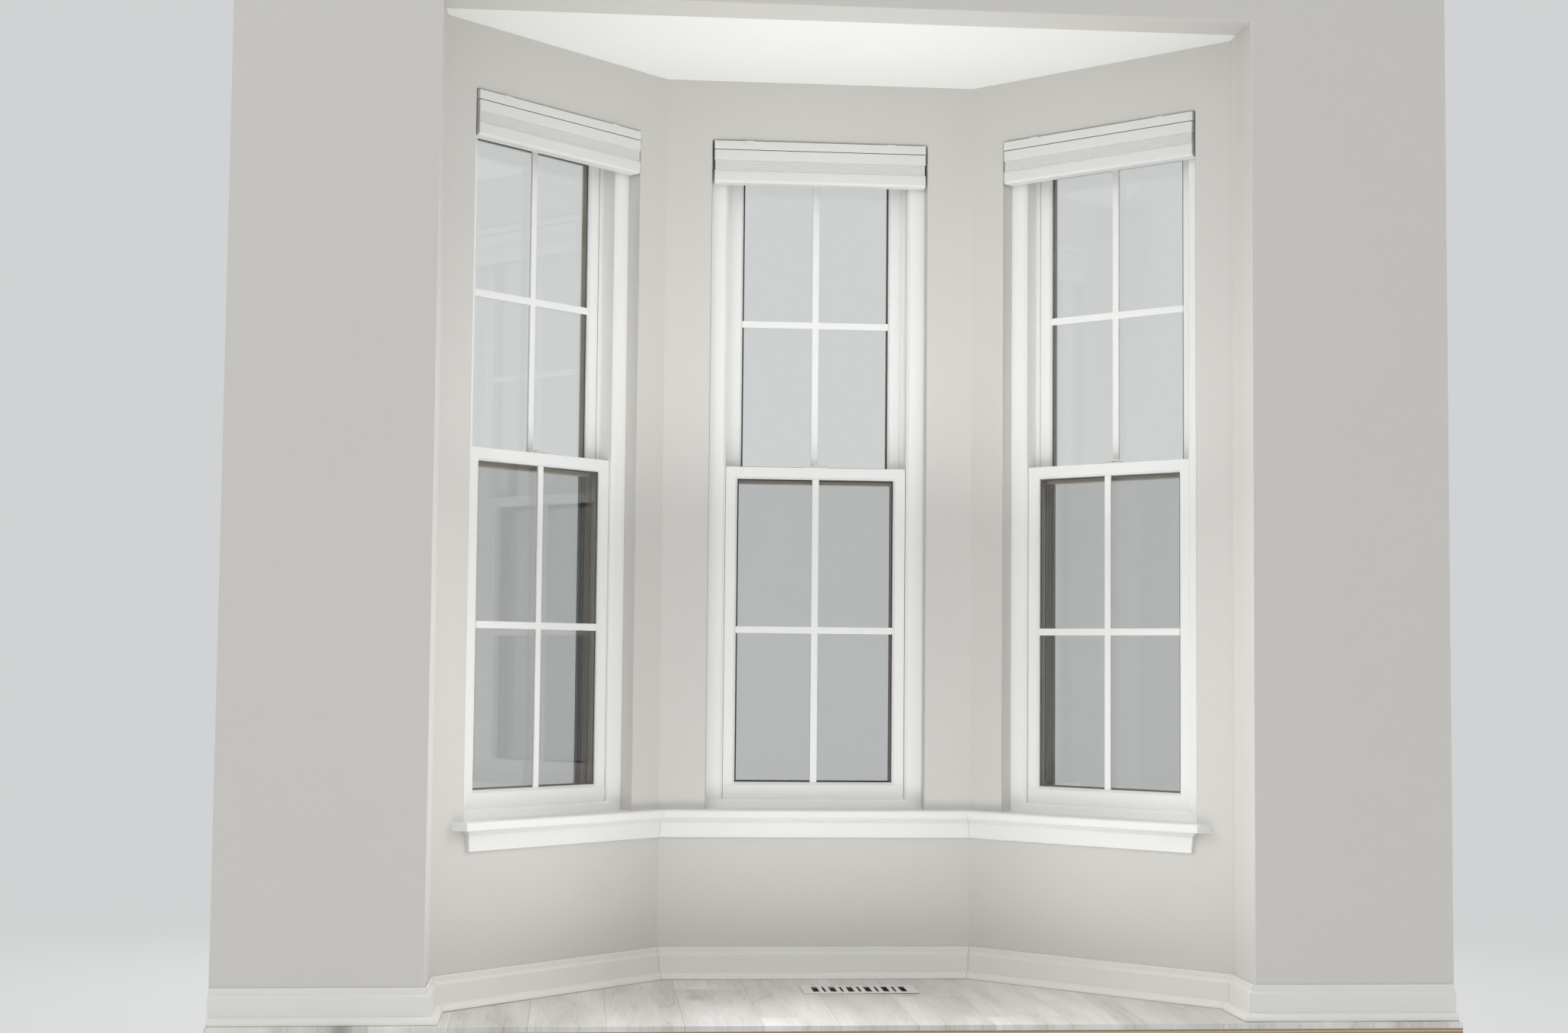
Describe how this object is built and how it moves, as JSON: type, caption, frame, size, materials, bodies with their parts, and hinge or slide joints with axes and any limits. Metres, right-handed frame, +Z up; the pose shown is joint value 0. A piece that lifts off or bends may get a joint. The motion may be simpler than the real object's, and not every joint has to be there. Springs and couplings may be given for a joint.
{
  "type": "canted bay window",
  "caption": "Canted bay with a double-hung window in each facet, raised blinds, a mitred stool and baseboard, a plank floor, lap siding and a hipped roof.",
  "frame": {"origin": "on the ground, in the middle of the outline's length and depth", "axes": "+X to the right as seen from the room, +Y out of the house, +Z up"},
  "size_m": [2.7006, 0.977, 3.3329],
  "materials": {
    "concrete": "parged, matte",
    "framing_timber": "sawn softwood",
    "floor_planks": "pale grey planks, satin",
    "register_enamel": "white baked enamel",
    "wall_paint": "painted plasterboard, matte",
    "ceiling_paint": "painted plasterboard, flat white",
    "lap_siding": "painted lap boards, satin",
    "outside_trim": "painted boards, satin",
    "window_vinyl": "extruded vinyl, satin",
    "window_glass": "clear sealed units",
    "grille_vinyl": "extruded vinyl, satin",
    "screen_frame": "roll-formed aluminium, dark enamel",
    "lock_enamel": "white enamel on die-cast metal",
    "blind_rail": "white enamel on formed metal",
    "blind_shade": "pleated fabric on white rails",
    "inside_trim": "white semi-gloss paint",
    "shingles": "mineral-faced shingles",
    "flashing": "folded sheet metal, dark"
  },
  "bodies": {
    "root": {"main_foundation": "concrete", "bay_foundation": "concrete", "floor_joists": "framing_timber", "subfloor": "framing_timber", "plank_floor": "floor_planks", "floor_register": "register_enamel", "left_house_wall": "wall_paint", "right_house_wall": "wall_paint", "header_wall": "wall_paint", "left_bay_wall": "wall_paint", "centre_bay_wall": "wall_paint", "right_bay_wall": "wall_paint", "bay_ceiling": "ceiling_paint", "house_siding": "lap_siding", "bay_siding": "lap_siding", "corner_boards": "outside_trim", "window_casings": "outside_trim", "left_window_frame": "window_vinyl", "centre_window_frame": "window_vinyl", "right_window_frame": "window_vinyl", "left_upper_sash": "window_vinyl", "centre_upper_sash": "window_vinyl", "right_upper_sash": "window_vinyl", "left_lower_sash": "window_vinyl", "centre_lower_sash": "window_vinyl", "right_lower_sash": "window_vinyl", "left_glass": "window_glass", "centre_glass": "window_glass", "right_glass": "window_glass", "left_grilles": "grille_vinyl", "centre_grilles": "grille_vinyl", "right_grilles": "grille_vinyl", "insect_screens": "screen_frame", "sash_locks": "lock_enamel", "blind_headrails": "blind_rail", "raised_shades": "blind_shade", "window_stool": "inside_trim", "window_apron": "inside_trim", "baseboard": "inside_trim", "shoe_moulding": "inside_trim", "roof_deck": "shingles", "fascia_boards": "outside_trim", "roof_soffit": "outside_trim", "wall_flashing": "flashing"}
  },
  "joints": []
}
